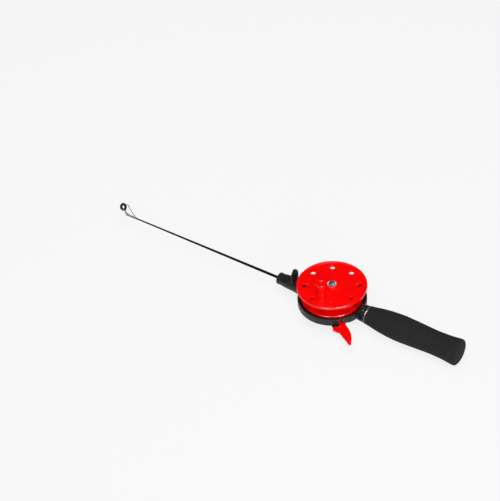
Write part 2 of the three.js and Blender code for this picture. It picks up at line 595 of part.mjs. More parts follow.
// ---- assembly ----
const pieces = {
  reel_frame: [reelFrame(), BLACK],
  line_guide: [lineGuide(), BLACK],
  guide_ring: [guideRing(), STEEL],
  back_cover: [backCover(), BLACK],
  axle: [axle(), STEEL],
  axle_nut: [axleNut(), STEEL],
  thrust_washer: [
    washer(AXLE_JOURNAL_R + 0.25, 4.8, AXLE_SHOULDER_TOP + 0.2, BUSHING_BOTTOM - 0.2), STEEL],
  centre_washer: [washer(1.5, WASHER_R, WASHER_BOTTOM, WASHER_TOP), STEEL],
  centre_screw: [centreScrew(), STEEL],
  grip_collar: [gripCollar(), BLACK],
  foam_grip: [foamGrip(), FOAM],
  rod_blank: [rodBlank(), CARBON],
  tip_tube: [tipTube(), GREY_METAL],
  tip_wire: [tipWire(), GREY_METAL],
  tip_ring: [tipRing(), CARBON],
  trigger_pin: [triggerPin(), RED],
  return_spring: [returnSpring(), STEEL],
  spool_flange: [spoolFlange(), RED],
  spool_drum: [spoolDrum(), RED],
  spool_bushing: [spoolBushing(), BRASS],
  knob_pin: [knobPin(), STEEL],
  crank_knob: [crankKnob(), RED],
  trigger_lever: [triggerLever(), RED],
  brake_pad: [brakePad(), FELT],
};
COVER_SCREW_ANGLES.forEach((deg, i) => {
  pieces[`cover_screw_${i + 1}`] = [coverScrew(deg), STEEL];
});

const rod = new THREE.Group();
for (const [name, [geometry, material]] of Object.entries(pieces)) {
  const mesh = new THREE.Mesh(geometry, material);
  mesh.name = name;
  rod.add(mesh);
}

export default rod;
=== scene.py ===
"""Looks of a short ice-fishing rod with a built-in reel.

Metres in the part's frame: +X runs from the tip to the butt, +Z out of the open face of the reel, and the
rod lies on the plane z = 0. Sizes below are millimetres and are scaled once, when a mesh is made.
"""

import json
import math

import bmesh
import bpy
from mathutils import Matrix, Vector


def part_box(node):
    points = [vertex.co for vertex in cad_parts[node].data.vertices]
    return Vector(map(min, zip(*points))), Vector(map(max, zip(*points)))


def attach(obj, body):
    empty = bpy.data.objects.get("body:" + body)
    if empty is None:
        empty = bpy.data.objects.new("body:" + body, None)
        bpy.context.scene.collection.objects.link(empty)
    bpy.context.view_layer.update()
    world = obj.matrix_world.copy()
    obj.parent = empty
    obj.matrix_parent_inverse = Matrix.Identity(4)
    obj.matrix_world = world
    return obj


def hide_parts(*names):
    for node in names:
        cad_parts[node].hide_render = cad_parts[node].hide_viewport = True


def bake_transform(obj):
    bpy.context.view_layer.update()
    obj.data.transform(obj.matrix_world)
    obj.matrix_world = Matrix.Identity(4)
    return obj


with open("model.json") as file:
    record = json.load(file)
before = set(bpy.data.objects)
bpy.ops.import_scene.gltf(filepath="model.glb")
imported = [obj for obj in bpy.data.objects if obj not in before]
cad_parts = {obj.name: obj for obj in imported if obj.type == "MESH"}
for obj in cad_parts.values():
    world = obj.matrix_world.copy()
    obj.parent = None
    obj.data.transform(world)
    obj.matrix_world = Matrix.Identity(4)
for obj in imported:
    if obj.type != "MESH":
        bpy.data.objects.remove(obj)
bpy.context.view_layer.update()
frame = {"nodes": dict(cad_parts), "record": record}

MM = 0.001


def box_mm(node):
    low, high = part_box(node)
    return low / MM, high / MM


# ---- places taken from the frame, in mm ----
FLANGE_HIGH = box_mm("spool_flange")[1]
DRUM_LOW, DRUM_HIGH = box_mm("spool_drum")
FRAME_LOW = box_mm("reel_frame")[0]
COVER_HIGH = box_mm("back_cover")[1]
KNOB_LOW, KNOB_HIGH = box_mm("crank_knob")
LEVER_HIGH = box_mm("trigger_lever")[1]
PAD_LOW, PAD_HIGH = box_mm("brake_pad")
PIN_LOW, PIN_HIGH = box_mm("trigger_pin")
SCREW_HIGH = box_mm("centre_screw")[1]
WASHER_LOW, WASHER_HIGH = box_mm("centre_washer")
GRIP_LOW, GRIP_HIGH = box_mm("foam_grip")
COLLAR_LOW, COLLAR_HIGH = box_mm("grip_collar")
BLANK_LOW, BLANK_HIGH = box_mm("rod_blank")
TUBE_HIGH = box_mm("tip_tube")[1]
RING_LOW, RING_HIGH = box_mm("tip_ring")
EYE_LOW, EYE_HIGH = box_mm("guide_ring")
GUIDE_LOW, GUIDE_HIGH = box_mm("line_guide")
SPRING_LOW, SPRING_HIGH = box_mm("return_spring")
ROD_Z = (BLANK_LOW.z + BLANK_HIGH.z) / 2
PIVOT = (PIN_LOW + PIN_HIGH) / 2


# ---- profiles and outlines ----
ARC_STEPS = 8


def bend(start, corner, end, t):
    """The point at t, from 0 to 1, of the quadratic arc that a corner pulls outward."""
    return tuple(start * (1 - t) ** 2 + corner * 2 * t * (1 - t) + end * t * t)


def rounded(points, closed=False, steps=5):
    """A profile with its corners rounded. A point is (r, h) or (r, h, radius)."""
    out = []
    last = len(points) - 1
    for i, point in enumerate(points):
        here = Vector(point[:2])
        radius = point[2] if len(point) > 2 else 0
        if radius == 0 or (not closed and i in (0, last)):
            out.append(tuple(here))
            continue
        before = Vector(points[i - 1][:2]) - here
        after = Vector(points[(i + 1) % len(points)][:2]) - here
        reach = min(radius, 0.48 * before.length, 0.48 * after.length)
        start, end = here + before.normalized() * reach, here + after.normalized() * reach
        out += [bend(start, here, end, k / steps) for k in range(steps + 1)]
    return out


def spline(points, per_span=6):
    """A smooth line through points of any dimension."""
    pts = [Vector(p) for p in points]
    pts = [2 * pts[0] - pts[1], *pts, 2 * pts[-1] - pts[-2]]
    out = []
    for a, b, c, d in zip(pts, pts[1:], pts[2:], pts[3:]):
        for k in range(per_span):
            t = k / per_span
            out.append(0.5 * (2 * b + (c - a) * t + (2 * a - 5 * b + 4 * c - d) * t * t
                              + (3 * b - 3 * c + d - a) * t ** 3))
    out.append(pts[-2])
    return [tuple(p) for p in out]


def arcs(start, *bends):
    """A line of quadratic arcs from start, each given by its corner and its end."""
    out = [tuple(start)]
    for corner, end in bends:
        a, b, c = Vector(out[-1]), Vector(corner), Vector(end)
        out += [bend(a, b, c, k / ARC_STEPS) for k in range(1, ARC_STEPS + 1)]
    return out


def polar(radius, degrees):
    return radius * math.cos(math.radians(degrees)), radius * math.sin(math.radians(degrees))


def ring_of(radius, count=48, centre=(0, 0)):
    """The points of a circle."""
    return [(centre[0] + radius * math.cos(2 * math.pi * i / count),
             centre[1] + radius * math.sin(2 * math.pi * i / count)) for i in range(count)]


# ---- meshes ----
def new_object(name, data):
    obj = bpy.data.objects.new(name, data)
    bpy.context.scene.collection.objects.link(obj)
    return obj


def new_mesh(name, bm):
    mesh = bpy.data.meshes.new(name)
    bm.to_mesh(mesh)
    bm.free()
    return mesh


def applied(obj):
    """The mesh of an object with its modifiers or its curve settings applied."""
    bpy.context.view_layer.update()
    return bpy.data.meshes.new_from_object(obj.evaluated_get(bpy.context.evaluated_depsgraph_get()))


def lathe(profile, segments=128, closed=False):
    """Turns (radius, height) points about Z, from the bottom outward and up, or closed on itself."""
    bm = bmesh.new()
    turn = ring_of(1, segments)
    rings = [
        [bm.verts.new((0, 0, h))] if r < 1e-6 else [bm.verts.new((r * c, r * s, h)) for c, s in turn]
        for r, h in profile
    ]
    for low, high in zip(rings, rings[1:] + rings[:1] if closed else rings[1:]):
        for i in range(segments):
            j = (i + 1) % segments
            corners = [low[i % len(low)], low[j % len(low)], high[j % len(high)], high[i % len(high)]]
            face = list(dict.fromkeys(corners))
            if len(face) > 2:
                bm.faces.new(face)
    return bm


def along_x(bm, height=None):
    """The same about the centreline of the rod, with heights that become x."""
    z = ROD_Z if height is None else height
    bm.transform(Matrix.Translation((0, 0, z)) @ Matrix.Rotation(math.pi / 2, 4, "Y"))
    return bm


def plate(outline, low, high, bevel, holes=()):
    """An outline in the XY plane between two heights, with rounded edges and rounded holes."""
    curve = bpy.data.curves.new("plate", "CURVE")
    curve.dimensions = "2D"
    curve.fill_mode = "BOTH"
    for ring in (outline, *holes):
        path = curve.splines.new("POLY")
        path.points.add(len(ring) - 1)
        path.points.foreach_set("co", [v for x, y in ring for v in (x, y, 0, 1)])
        path.use_cyclic_u = True
    curve.extrude = (high - low) / 2 - bevel
    curve.bevel_depth = bevel
    curve.bevel_resolution = 3
    curve.offset = -bevel
    holder = new_object("plate", curve)
    made = applied(holder)
    bpy.data.objects.remove(holder)
    bpy.data.curves.remove(curve)
    bm = bmesh.new()
    bm.from_mesh(made)
    bpy.data.meshes.remove(made)
    bmesh.ops.remove_doubles(bm, verts=bm.verts, dist=1e-4)
    bmesh.ops.recalc_face_normals(bm, faces=bm.faces)
    bm.transform(Matrix.Translation((0, 0, (low + high) / 2)))
    return bm


def tube(path, radius, sides=16, closed=False):
    """A round wire along a path, with round ends unless it is closed."""
    pts = [Vector(p) for p in path]
    count = len(pts)
    bm = bmesh.new()
    normal = None
    rings = []
    for i, p in enumerate(pts):
        ahead = pts[(i + 1) % count] if closed or i < count - 1 else p
        behind = pts[i - 1] if closed or i > 0 else p
        tangent = (ahead - behind).normalized()
        if normal is None:
            normal = tangent.orthogonal().normalized()
        normal = (normal - tangent * normal.dot(tangent)).normalized()
        side = tangent.cross(normal)
        rings.append([
            bm.verts.new(p + radius * (normal * math.cos(a) + side * math.sin(a)))
            for a in (2 * math.pi * k / sides for k in range(sides))
        ])
    pairs = list(zip(rings, rings[1:])) + ([(rings[-1], rings[0])] if closed else [])
    for a, b in pairs:
        for k in range(sides):
            m = (k + 1) % sides
            bm.faces.new((a[k], a[m], b[m], b[k]))
    if not closed:
        for ring, outward in ((rings[0], pts[0] - pts[1]), (rings[-1], pts[-1] - pts[-2])):
            middle = sum((v.co for v in ring), Vector()) / sides
            tip = bm.verts.new(middle + outward.normalized() * radius * 0.5)
            for k in range(sides):
                bm.faces.new((ring[k], ring[(k + 1) % sides], tip))
    bmesh.ops.recalc_face_normals(bm, faces=bm.faces)
    return bm


def block(width, depth, height, centre, turn=0, bevel=0.0):
    bm = bmesh.new()
    bmesh.ops.create_cube(bm, size=1)
    bm.transform(Matrix.Diagonal((width, depth, height, 1)))
    if bevel:
        bmesh.ops.bevel(bm, geom=bm.edges[:], offset=bevel, segments=3, affect="EDGES", profile=0.5)
    bm.transform(Matrix.Translation(centre) @ Matrix.Rotation(math.radians(turn), 4, "Z"))
    return bm


def moved(bm, x=0, y=0, z=0):
    bm.transform(Matrix.Translation((x, y, z)))
    return bm


def merged(*parts):
    whole = bmesh.new()
    for bm in parts:
        mesh = new_mesh("part", bm)
        whole.from_mesh(mesh)
        bpy.data.meshes.remove(mesh)
    return whole


def cut(base, tools):
    """Cuts tools away from base."""
    body, *cutters = (new_object("solid", new_mesh("solid", bm)) for bm in (base, *tools))
    for cutter in cutters:
        step = body.modifiers.new("step", "BOOLEAN")
        step.operation = "DIFFERENCE"
        step.object = cutter
        step.solver = "EXACT"
    made = applied(body)
    result = bmesh.new()
    result.from_mesh(made)
    bpy.data.meshes.remove(made)
    for obj in (body, *cutters):
        mesh = obj.data
        bpy.data.objects.remove(obj)
        bpy.data.meshes.remove(mesh)
    return result


SHARP_DEG = 38


def piece(name, bm, body, material, nodes=()):
    """A finished piece that rides on a body, if one is given, and stands for CAD nodes."""
    bm.transform(Matrix.Scale(MM, 4))
    bm.normal_update()
    for edge in bm.edges:
        edge.smooth = len(edge.link_faces) == 2 and edge.calc_face_angle(0) < math.radians(SHARP_DEG)
    for face in bm.faces:
        face.smooth = True
    mesh = new_mesh(name, bm)
    mesh.materials.append(material)
    obj = new_object(name, mesh)
    if body:
        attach(obj, body)
    if nodes:
        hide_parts(*nodes)
    return obj


# ---- materials ----
class Shader:
    """A Principled material with helpers for its procedural nodes. Coordinates are metres on the piece."""

    def __init__(self, name, color, roughness, metallic=0.0, **sockets):
        self.material = bpy.data.materials.new(name)
        self.material.use_nodes = True
        self.tree = self.material.node_tree
        self.surface = self.tree.nodes["Principled BSDF"]
        self.surface.inputs["Base Color"].default_value = (*color, 1)
        self.surface.inputs["Roughness"].default_value = roughness
        self.surface.inputs["Metallic"].default_value = metallic
        for socket, value in sockets.items():
            self.surface.inputs[socket.replace("_", " ")].default_value = value
        self.place = self.tree.nodes.new("ShaderNodeTexCoord").outputs["Object"]

    def link(self, source, target):
        self.tree.links.new(source, target)

    def noise(self, scale, detail=3.0, roughness=0.5, stretch=None):
        node = self.tree.nodes.new("ShaderNodeTexNoise")
        node.inputs["Scale"].default_value = scale
        node.inputs["Detail"].default_value = detail
        node.inputs["Roughness"].default_value = roughness
        place = self.place
        if stretch:
            mapping = self.tree.nodes.new("ShaderNodeMapping")
            mapping.inputs["Scale"].default_value = stretch
            self.link(place, mapping.inputs["Vector"])
            place = mapping.outputs["Vector"]
        self.link(place, node.inputs["Vector"])
        return node.outputs["Fac"]

    def cells(self, scale):
        node = self.tree.nodes.new("ShaderNodeTexVoronoi")
        node.inputs["Scale"].default_value = scale
        self.link(self.place, node.inputs["Vector"])
        return node.outputs["Distance"]

    def ramp(self, source, low, high):
        """Spreads the middle of a 0-1 value between two colours or two grey levels."""
        node = self.tree.nodes.new("ShaderNodeValToRGB")
        for stop, at, value in zip(node.color_ramp.elements, (0.3, 0.7), (low, high)):
            stop.position = at
            stop.color = (*value, 1) if isinstance(value, tuple) else (value, value, value, 1)
        self.link(source, node.inputs["Fac"])
        return node.outputs["Color"]

    def color(self, source):
        self.link(source, self.surface.inputs["Base Color"])

    def rough(self, source):
        self.link(source, self.surface.inputs["Roughness"])

    def bump(self, *layers):
        """Each layer is (height source, depth in metres)."""
        normal = None
        for source, depth in layers:
            node = self.tree.nodes.new("ShaderNodeBump")
            node.inputs["Strength"].default_value = 1.0
            node.inputs["Distance"].default_value = depth
            self.link(source, node.inputs["Height"])
            if normal:
                self.link(normal, node.inputs["Normal"])
            normal = node.outputs["Normal"]
        self.link(normal, self.surface.inputs["Normal"])


def red_plastic():
    s = Shader("red_plastic", (0.9, 0.001, 0.001), 0.16, Specular_IOR_Level=0.16, Subsurface_Weight=0.3,
               Subsurface_Radius=(1.0, 0.05, 0.05), Subsurface_Scale=0.004)
    s.color(s.ramp(s.noise(90, 3), (0.88, 0.0004, 0.0005), (0.96, 0.0009, 0.0008)))
    s.rough(s.ramp(s.noise(260, 4), 0.10, 0.2))
    s.bump((s.noise(75, 2), 0.00004), (s.noise(900, 3), 0.000004))
    return s.material


def satin_plastic(name, dark, light):
    s = Shader(name, (0.022, 0.0225, 0.022), 0.38, Specular_IOR_Level=0.32)
    s.color(s.ramp(s.noise(120, 4), dark, light))
    s.rough(s.ramp(s.noise(300, 4), 0.30, 0.46))
    s.bump((s.noise(110, 2), 0.00005), (s.noise(2400, 3, 0.6), 0.000012))
    return s.material


def foam():
    s = Shader("foam", (0.022, 0.022, 0.023), 0.92, Specular_IOR_Level=0.25)
    s.color(s.ramp(s.noise(650, 5, 0.65), (0.013, 0.0128, 0.0135), (0.024, 0.0236, 0.024)))
    s.rough(s.ramp(s.noise(400, 3), 0.82, 0.98))
    s.bump((s.noise(60, 3), 0.00004), (s.cells(1500), 0.00003), (s.noise(3500, 3, 0.6), 0.00001))
    return s.material


def carbon():
    s = Shader("blank", (0.003, 0.003, 0.003), 0.3, Specular_IOR_Level=0.2)
    s.color(s.ramp(s.noise(120, 3, 0.5, (4, 30, 30)), (0.0015, 0.0015, 0.0017), (0.005, 0.005, 0.0055)))
    s.rough(s.ramp(s.noise(300, 3, 0.5, (4, 30, 30)), 0.24, 0.4))
    s.bump((s.noise(60, 2, 0.5, (40, 3, 3)), 0.00001))
    return s.material


def hard_ring():
    s = Shader("hard_ring", (0.005, 0.005, 0.005), 0.2, Specular_IOR_Level=0.3)
    s.color(s.ramp(s.noise(500, 3), (0.003, 0.003, 0.003), (0.008, 0.008, 0.007)))
    s.rough(s.ramp(s.noise(800, 3), 0.14, 0.28))
    return s.material


def metal(name, color, low, high, grain=(30, 30, 1), metallic=1.0):
    s = Shader(name, color, low, metallic)
    dark = tuple(0.86 * c for c in color)
    s.color(s.ramp(s.noise(160, 3), dark, color))
    s.rough(s.ramp(s.noise(200, 4, 0.6, grain), low, high))
    s.bump((s.noise(900, 4, 0.6, grain), 0.000004))
    return s.material


def felt():
    s = Shader("felt", (0.26, 0.23, 0.19), 1.0)
    s.color(s.ramp(s.noise(1800, 5), (0.18, 0.16, 0.13), (0.32, 0.28, 0.24)))
    s.bump((s.noise(2600, 5, 0.7), 0.0001))
    return s.material


RED = red_plastic()
BLACK = satin_plastic("black_plastic", (0.011, 0.0114, 0.011), (0.018, 0.0185, 0.018))
FOAM = foam()
BLANK = carbon()
RING = hard_ring()
STEEL = metal("steel", (0.50, 0.51, 0.53), 0.25, 0.4)
BRIGHT = metal("bright_steel", (0.66, 0.74, 0.82), 0.16, 0.3)
PLATED = metal("plated_steel", (0.92, 0.88, 0.90), 0.3, 0.42)
GREY = metal("grey_metal", (0.42, 0.42, 0.425), 0.4, 0.55, (1, 30, 30), 0.6)
BRASS = metal("brass", (0.62, 0.42, 0.14), 0.3, 0.45)
FELT = felt()
LIGHT_GREY = satin_plastic("grey_plastic", 0.05, 0.08)
FINISH = {
    "red_plastic": RED, "black_plastic": BLACK, "grey_plastic": LIGHT_GREY, "foam": FOAM,
    "blank": BLANK, "dark_ring": RING, "steel": STEEL, "bright_steel": BRIGHT, "grey_metal": GREY,
    "brass": BRASS, "felt": FELT,
}
for part in frame["record"]["subparts"]:
    mesh = frame["nodes"][part["node"]].data
    mesh.materials.clear()
    mesh.materials.append(FINISH[part["material_slot"]])


# ---- spool ----
FLANGE_R = FLANGE_HIGH.x
LIP_TOP = FLANGE_HIGH.z
WEB_TOP = LIP_TOP - 1.2
WEB_BOTTOM = WEB_TOP - 2.15
HUB_TOP = WEB_TOP + 1.6
HUB_R = 6.8
BORE_R = 3.7
HOLE_COUNT = 8
HOLE_R = 2.6
HOLE_CIRCLE_R = 27.2
FIRST_HOLE_DEG = -13.9
ARBOR_R = 18
ARBOR_WALL = 2
SLEEVE_R = 5.6
BRAKE_R, BRAKE_OUT_R = 22, 23.8
RIM_R = DRUM_HIGH.x
RIM_TOP = 20.0
RIM_BOTTOM = 17.55


def spool_flange():
    disc = lathe(rounded([
        (BORE_R, WEB_BOTTOM), (FLANGE_R, WEB_BOTTOM, 1.0), (FLANGE_R, LIP_TOP, 0.45),
        (FLANGE_R - 1.3, LIP_TOP, 0.75), (FLANGE_R - 2.9, WEB_TOP, 1.3), (HUB_R + 0.3, WEB_TOP, 0.5),
        (HUB_R, HUB_TOP, 0.4), (BORE_R, HUB_TOP),
    ], closed=True), 192, closed=True)
    cutter = rounded([
        (0, WEB_BOTTOM - 1), (HOLE_R + 1.2, WEB_BOTTOM - 1), (HOLE_R + 0.2, WEB_BOTTOM, 0.15),
        (HOLE_R, WEB_BOTTOM + 0.2, 0.15), (HOLE_R, WEB_TOP - 0.08, 0.05), (HOLE_R + 0.08, WEB_TOP, 0.05),
        (HOLE_R + 1.2, WEB_TOP + 1), (0, WEB_TOP + 1),
    ])
    holes = []
    for i in range(HOLE_COUNT):
        x, y = polar(HOLE_CIRCLE_R, FIRST_HOLE_DEG + i * 360 / HOLE_COUNT)
        holes.append(moved(lathe(cutter, 40), x, y))
    return cut(disc, holes)


def spool_drum():
    return lathe(rounded([
        (BRAKE_R, RIM_BOTTOM), (BRAKE_R, DRUM_LOW.z, 0.4), (BRAKE_OUT_R, DRUM_LOW.z, 0.4),
        (BRAKE_OUT_R + 0.1, RIM_BOTTOM, 0.4),
        (RIM_R, RIM_BOTTOM, 1.0), (RIM_R, RIM_TOP, 0.75), (RIM_R - 1.3, RIM_TOP, 0.6),
        (RIM_R - 1.9, RIM_TOP - 0.85, 0.8), (ARBOR_R, RIM_TOP - 0.85, 1.2), (ARBOR_R, WEB_BOTTOM - 0.2),
        (ARBOR_R - ARBOR_WALL, WEB_BOTTOM - 0.2), (ARBOR_R - ARBOR_WALL, RIM_TOP - 1),
        (SLEEVE_R, RIM_TOP - 1), (SLEEVE_R, RIM_BOTTOM),
    ], closed=True), 160, closed=True)


def crank_knob():
    top, foot = KNOB_HIGH.z, KNOB_LOW.z
    profile = [
        (1.8, foot + 3), (1.8, foot), (4.2, foot, 0.5), (4.6, foot + 0.7, 0.5), (4.2, foot + 2.0, 1.2),
        (3.45, foot + 5, 3), (3.3, foot + 9, 3), (3.75, foot + 13.2, 2.5), (4.75, foot + 16.2, 1.6),
        (5.3, foot + 17.9, 0.9), (5.33, top, 0.9), (4.0, top, 0.5), (3.3, top - 0.6, 0.5), (0, top - 0.75),
    ]
    centre = (KNOB_LOW + KNOB_HIGH) / 2
    return moved(lathe(rounded(profile, steps=7), 96), centre.x, centre.y)


def centre_screw():
    low, top, r = WASHER_HIGH.z + 0.12, SCREW_HIGH.z, SCREW_HIGH.x
    head = lathe(rounded([
        (0, low - 5), (1.2, low - 5), (1.2, low), (r, low, 0.2), (r, low + 0.9, 0.6),
        (r - 0.8, top - 0.25, 0.8), (0, top),
    ], steps=6), 72)
    arms = [block(3.8, 0.8, 1.7, (0, 0, top), turn) for turn in (20, 110)]
    return cut(head, arms)


def centre_washer():
    r, low, high = WASHER_HIGH.x, WASHER_LOW.z, WASHER_HIGH.z
    inner = SCREW_HIGH.x + 0.15
    return lathe(rounded([
        (1.5, low), (r, low, 0.2), (r, low + 0.35, 0.3), (r - 0.6, high, 0.4), (inner, high - 0.1, 0.1),
        (inner - 0.1, high - 0.25, 0.1), (1.5, high - 0.25),
    ], closed=True), 96, closed=True)


piece("flange", spool_flange(), "spool", RED, ["spool_flange"])
piece("drum", spool_drum(), "spool", RED, ["spool_drum"])
piece("knob", crank_knob(), "knob", RED, ["crank_knob"])
piece("screw", centre_screw(), "frame", BRIGHT, ["centre_screw"])
piece("screw_washer", centre_washer(), "frame", PLATED, ["centre_washer"])


# ---- frame ----
CUP_R = 35.0
CUP_WALL = 2.0
CUP_TOP = 18.85
CUP_BOTTOM = 10.55
DECK_BOTTOM, DECK_TOP = 12.75, 14.75
AXLE_HOLE_R = 4.5
SLOT_DEG, NOTCH_DEG, WINDOW_DEG, FACET_DEG = -40.5, -43.5, -42, -34
STAND_YZ = Matrix(((0, 0, 1, 0), (1, 0, 0, 0), (0, 1, 0, 0), (0, 0, 0, 1)))
STAND_XZ = Matrix(((1, 0, 0, 0), (0, 0, -1, 0), (0, 1, 0, 0), (0, 0, 0, 1)))
NOSE_X = FRAME_LOW.x
ROOT_X = 33.4
STEM_END_X = COLLAR_LOW.x - 0.25
EYE_Z = (EYE_LOW.z + EYE_HIGH.z) / 2
GUIDE_X = (GUIDE_LOW.x + GUIDE_HIGH.x) / 2


def cup():
    inside = CUP_R - CUP_WALL
    shell = lathe(rounded([
        (AXLE_HOLE_R, DECK_BOTTOM), (inside, DECK_BOTTOM), (inside, CUP_BOTTOM, 0.4),
        (CUP_R, CUP_BOTTOM, 1.0), (CUP_R, CUP_TOP, 0.8), (inside, CUP_TOP, 0.6), (inside, DECK_TOP, 0.5),
        (AXLE_HOLE_R, DECK_TOP),
    ], closed=True), 192, closed=True)
    reach = CUP_R - CUP_WALL / 2
    slot = block(6, 12.6, 4, (*polar(reach, SLOT_DEG), CUP_BOTTOM + 0.2), SLOT_DEG)
    notch = block(6, 4.2, 12, (*polar(reach, NOTCH_DEG), CUP_TOP - 1), NOTCH_DEG)
    window = block(7, 8.6, 4, (*polar(27, WINDOW_DEG), 13.7), WINDOW_DEG)
    facet = block(4, 9.5, 12, (*polar(CUP_R + 1.25, FACET_DEG), 14.7), FACET_DEG)
    return cut(shell, [slot, notch, window, facet])


def nose():
    x, bore, brim = NOSE_X, 1.75, 6.35
    cone = along_x(lathe(rounded([
        (0, x + 3), (bore, x + 3), (bore, x, 0.4), (5.5, x, 0.9), (brim, x + 0.9, 0.8),
        (brim, x + 2.2, 0.5), (6.0, x + 3.0, 0.8), (6.9, -54, 2), (7.3, -45, 3),
        (8.6, -ROOT_X), (0, -ROOT_X),
    ]), 96))
    size = GUIDE_HIGH - GUIDE_LOW + Vector((0.12, 0.12, 0.12))
    slot = block(*size, (GUIDE_LOW + GUIDE_HIGH) / 2)
    return cut(cone, [slot])


def stem():
    barrel = along_x(lathe(rounded([
        (0, ROOT_X), (8.5, ROOT_X), (9, 38, 1.5), (9, STEM_END_X, 0.5), (0, STEM_END_X),
    ]), 96))
    pocket = block(3.6, 6, 6.5, (38.2, -9, ROD_Z + 1.6), bevel=0.5)
    return cut(barrel, [pocket])


def line_guide():
    """An upright plate with a pointed arch on top, drawn as (y, z) and stood up."""
    w, foot, top = GUIDE_HIGH.y, GUIDE_LOW.z, GUIDE_HIGH.z
    shoulder = top - 7.2
    outline = [(-w, foot), (w, foot)]
    outline += arcs((w, shoulder),
                    ((w - 0.2, shoulder + 3.2), (w - 2.4, top - 2.4)),
                    ((0, top + 2.4), (2.4 - w, top - 2.4)),
                    ((0.2 - w, shoulder + 3.2), (-w, shoulder)))
    eye = ring_of(EYE_HIGH.y + 0.15, 48, (0, EYE_Z))
    bm = plate(outline, GUIDE_LOW.x, GUIDE_HIGH.x, 0.4, [eye])
    bm.transform(STAND_YZ)
    return bm


def gusset():
    """The web that stiffens the plate's foot towards the tip."""
    x = GUIDE_LOW.x - 0.1
    bm = plate([(x - 6, ROD_Z + 5), (x, ROD_Z + 5), (x, ROD_Z + 9.4), (x - 0.6, ROD_Z + 8.6),
                (x - 2.2, ROD_Z + 7.6), (x - 6, ROD_Z + 6.6)], -1, 1, 0.4)
    bm.transform(STAND_XZ)
    return bm


def guide_ring():
    reach, outer = (EYE_HIGH.x - EYE_LOW.x) / 2, EYE_HIGH.y
    inner = 3
    section = rounded([(inner, -reach, 0.5), (outer, -reach, 0.2), (outer, reach, 0.2),
                       (inner, reach, 0.5)], closed=True)
    return moved(along_x(lathe(section, 64, closed=True), EYE_Z), x=GUIDE_X)


COVER_R = 32.0
COVER_FACE = 8.55
COVER_SCREWS = (1, 2, 3)
BOSS_R = 15


def back_cover():
    r, low, high = COVER_R, COVER_FACE, COVER_HIGH.z
    disc = lathe(rounded([
        (0, 0), (BOSS_R, 0, 1.2), (BOSS_R + 3.6, low, 0.8), (r, low, 0.9), (r, high),
        (12, high), (12, 3), (0, 3),
    ]), 160)
    outward = Vector((PIVOT.x, PIVOT.y)).normalized()
    turn = math.degrees(math.atan2(outward.y, outward.x))
    root, tip = r - 4, math.hypot(PIVOT.x, PIVOT.y)
    half = 2.0
    nose_arc = (polar(half, degrees) for degrees in range(-80, 81, 20))
    tongue = [(root, -5), (tip, -half), *((tip + x, y) for x, y in nose_arc), (tip, half), (root, 5)]
    ear = plate(tongue, PIN_LOW.z - 0.1, high, 0.25)
    ear.transform(Matrix.Rotation(math.radians(turn), 4, "Z"))
    sinks = []
    for n in COVER_SCREWS:
        a, b = box_mm(f"cover_screw_{n}")
        sink = lathe([(0, -1), (2.9, -1), (2.9, low + 0.4), (1.5, low + 1.5), (0, low + 1.5)], 40)
        sinks.append(moved(sink, (a.x + b.x) / 2, (a.y + b.y) / 2))
    return merged(cut(disc, sinks), ear)


def cover_screw(node):
    low, high = box_mm(node)
    head = lathe(rounded([
        (0, low.z), (2.5, low.z, 0.3), (2.55, low.z + 0.35, 0.15), (1, low.z + 1.4), (0, low.z + 2),
    ]), 48)
    slots = [block(3, 0.6, 1.3, (0, 0, low.z), turn) for turn in (0, 90)]
    return moved(cut(head, slots), (low.x + high.x) / 2, (low.y + high.y) / 2)


piece("cup", cup(), "frame", BLACK, ["reel_frame"])
piece("nose", merged(nose(), gusset()), "frame", BLACK)
piece("guide", line_guide(), "frame", BLACK, ["line_guide"])
piece("stem", stem(), "frame", BLACK)
piece("eye", guide_ring(), "frame", RING, ["guide_ring"])
piece("cover", back_cover(), "frame", BLACK, ["back_cover"])
for n in COVER_SCREWS:
    node = f"cover_screw_{n}"
    piece(f"cover_bolt_{n}", cover_screw(node), "frame", STEEL, [node])


# ---- trigger ----
TRIGGER_LOW, TRIGGER_TOP = 10.6, 12.4
LOBE_R, LOBE_BORE_R = 3.25, 1.4
POST_DEG = -38.9
POST_R = 28.1


def trigger():
    low, top = TRIGGER_LOW, TRIGGER_TOP
    pad_back = 27.4

    def arm_point(r, s):
        """r mm from the spool's axis towards the post, and s mm across."""
        x, y = polar(r, POST_DEG)
        a, b = polar(s, POST_DEG + 90)
        return x + a, y + b

    blade = [arm_point(pad_back, -2.5), arm_point(29.1, -2.5), (23.1, -23.9), (29, -34.4)]
    blade += arcs(blade[-1], ((31.6, -35.8), (34.9, -37.4)), ((39.4, -40), (43.4, -41.9)),
                  ((49.2, -46.1), (49.3, -43.2)), ((49, -41.4), (47.5, -39.9)),
                  ((45.2, -34.6), (40.7, -29.8)), ((36, -25.4), (30.2, -22.3)))[1:]
    blade += [arm_point(31.1, 3.1), arm_point(29.1, 2.5), arm_point(pad_back, 2.5)]
    body = plate(blade, low, top, 0.45)
    section = rounded([(LOBE_BORE_R, low), (LOBE_R, low, 0.4), (LOBE_R, top, 0.6), (LOBE_BORE_R, top)],
                      closed=True)
    lobe = moved(lathe(section, 64, closed=True), PIVOT.x, PIVOT.y)
    neck = plate([(PIVOT.x + 1.5, PIVOT.y + 1.2), (29.2, -31), (31, -35.3), (28.6, -35.6),
                  (PIVOT.x + 1, PIVOT.y - 3)], low + 0.15, top - 0.15, 0.3)
    middle = (*polar(POST_R, POST_DEG), (LEVER_HIGH.z + low) / 2)
    post = block(2, 5, LEVER_HIGH.z - low, middle, POST_DEG, 0.25)
    ridge = [(26.6, -28.4, top - 1), (28.2, -31.2, top), (30.0, -34.2, top), (33, -35.9, top),
             (37.5, -38.2, top - 0.1), (41.5, -40.4, top - 0.5), (45, -42, top - 1.1)]
    rib = tube(spline(ridge), 0.75, 14)
    return merged(body, lobe, neck, post, rib)


